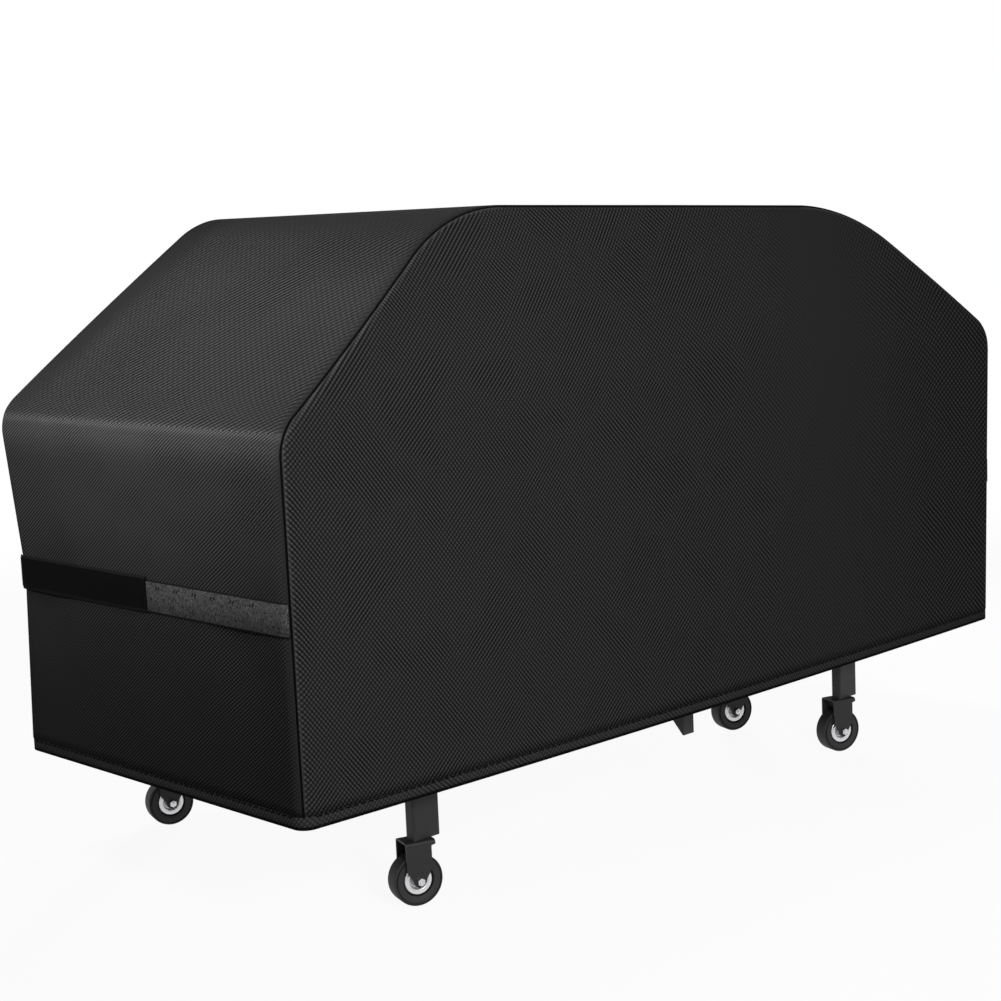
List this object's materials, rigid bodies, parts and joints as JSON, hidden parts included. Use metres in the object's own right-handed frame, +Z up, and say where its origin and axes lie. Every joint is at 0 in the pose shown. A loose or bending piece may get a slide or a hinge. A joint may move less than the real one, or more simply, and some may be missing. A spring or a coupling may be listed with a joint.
{
  "type": "grill cover",
  "caption": "Fitted black cloth cover with sloped shoulders and hook-and-loop side straps, over a flat-top grill on a tube-leg cart with swivel casters.",
  "frame": {"origin": "on the floor under the middle of the cover", "axes": "+X along the cover's width, +Y from its front panel to its back panel, +Z up"},
  "size_m": [1.6304, 0.693, 0.9536],
  "materials": {
    "cover_cloth": "coated black Oxford weave, matt with a faint sheen",
    "seam_piping": "black corded seam",
    "hook_tape": "smooth black back of hook tape",
    "loop_tape": "brushed grey loop pile",
    "cart_paint": "satin black powder coat",
    "fork_paint": "satin black powder coat on bent sheet",
    "grill_enamel": "semi-gloss black enamel",
    "griddle_iron": "seasoned griddle steel",
    "handle_steel": "brushed steel",
    "socket_plastic": "moulded black nylon",
    "tyre_rubber": "solid black rubber",
    "hub_steel": "pressed zinc-plated steel",
    "zinc_fastener": "zinc-plated steel"
  },
  "bodies": {
    "cart": {"front_left_leg": "cart_paint", "front_right_leg": "cart_paint", "rear_left_leg": "cart_paint", "rear_right_leg": "cart_paint", "front_left_socket_plug": "socket_plastic", "front_right_socket_plug": "socket_plastic", "rear_left_socket_plug": "socket_plastic", "rear_right_socket_plug": "socket_plastic", "front_rail": "cart_paint", "rear_rail": "cart_paint", "left_rail": "cart_paint", "right_rail": "cart_paint", "lower_left_rail": "cart_paint", "lower_right_rail": "cart_paint", "lower_shelf": "cart_paint", "hanging_bracket": "cart_paint", "grill_body": "grill_enamel", "griddle_plate": "griddle_iron", "hood": "grill_enamel", "hood_handle": "handle_steel", "left_shelf": "grill_enamel", "right_shelf": "grill_enamel", "left_shelf_brace": "cart_paint", "right_shelf_brace": "cart_paint"},
    "cover": {"front_panel": "cover_cloth", "back_panel": "cover_cloth", "gusset_strip": "cover_cloth", "front_piping": "seam_piping", "back_piping": "seam_piping", "hem": "cover_cloth", "left_loop_strap": "loop_tape", "right_loop_strap": "loop_tape"},
    "left_strap": {"left_hook_strap": "hook_tape"},
    "right_strap": {"right_hook_strap": "hook_tape"},
    "front_left_caster": {"front_left_fork": "fork_paint", "front_left_axle_bolt": "zinc_fastener", "front_left_axle_nut": "zinc_fastener"},
    "front_right_caster": {"front_right_fork": "fork_paint", "front_right_axle_bolt": "zinc_fastener", "front_right_axle_nut": "zinc_fastener"},
    "rear_left_caster": {"rear_left_fork": "fork_paint", "rear_left_axle_bolt": "zinc_fastener", "rear_left_axle_nut": "zinc_fastener"},
    "rear_right_caster": {"rear_right_fork": "fork_paint", "rear_right_axle_bolt": "zinc_fastener", "rear_right_axle_nut": "zinc_fastener"},
    "front_left_wheel": {"front_left_tyre": "tyre_rubber", "front_left_hub": "hub_steel"},
    "front_right_wheel": {"front_right_tyre": "tyre_rubber", "front_right_hub": "hub_steel"},
    "rear_left_wheel": {"rear_left_tyre": "tyre_rubber", "rear_left_hub": "hub_steel"},
    "rear_right_wheel": {"rear_right_tyre": "tyre_rubber", "rear_right_hub": "hub_steel"}
  },
  "joints": [
    {"name": "cover_lift", "type": "slide", "parent": "cart", "child": "cover", "axis": [0, 0, 1], "range_m": [0, 0.8]},
    {"name": "left_strap_peel", "type": "hinge", "parent": "cover", "child": "left_strap", "pos_m": [-0.80944, 0.30627, 0.445], "axis": [0, 0, -1], "range_deg": [0, 150]},
    {"name": "right_strap_peel", "type": "hinge", "parent": "cover", "child": "right_strap", "pos_m": [0.80944, 0.30627, 0.445], "axis": [0, 0, 1], "range_deg": [0, 150]},
    {"name": "front_left_swivel", "type": "hinge", "parent": "cart", "child": "front_left_caster", "pos_m": [-0.562, -0.283, 0.093], "axis": [0, 0, 1], "continuous": true},
    {"name": "front_right_swivel", "type": "hinge", "parent": "cart", "child": "front_right_caster", "pos_m": [0.42, -0.283, 0.093], "axis": [0, 0, 1], "continuous": true},
    {"name": "rear_left_swivel", "type": "hinge", "parent": "cart", "child": "rear_left_caster", "pos_m": [-0.562, 0.309, 0.093], "axis": [0, 0, 1], "continuous": true},
    {"name": "rear_right_swivel", "type": "hinge", "parent": "cart", "child": "rear_right_caster", "pos_m": [0.42, -0.048, 0.093], "axis": [0, 0, 1], "continuous": true},
    {"name": "front_left_roll", "type": "hinge", "parent": "front_left_caster", "child": "front_left_wheel", "pos_m": [-0.57627, -0.27836, 0.0365], "axis": [0.309, 0.9511, 0], "continuous": true},
    {"name": "front_right_roll", "type": "hinge", "parent": "front_right_caster", "child": "front_right_wheel", "pos_m": [0.40573, -0.27836, 0.0365], "axis": [0.309, 0.9511, 0], "continuous": true},
    {"name": "rear_left_roll", "type": "hinge", "parent": "rear_left_caster", "child": "rear_left_wheel", "pos_m": [-0.57627, 0.31363, 0.0365], "axis": [0.309, 0.9511, 0], "continuous": true},
    {"name": "rear_right_roll", "type": "hinge", "parent": "rear_right_caster", "child": "rear_right_wheel", "pos_m": [0.40573, -0.04337, 0.0365], "axis": [0.309, 0.9511, 0], "continuous": true}
  ]
}
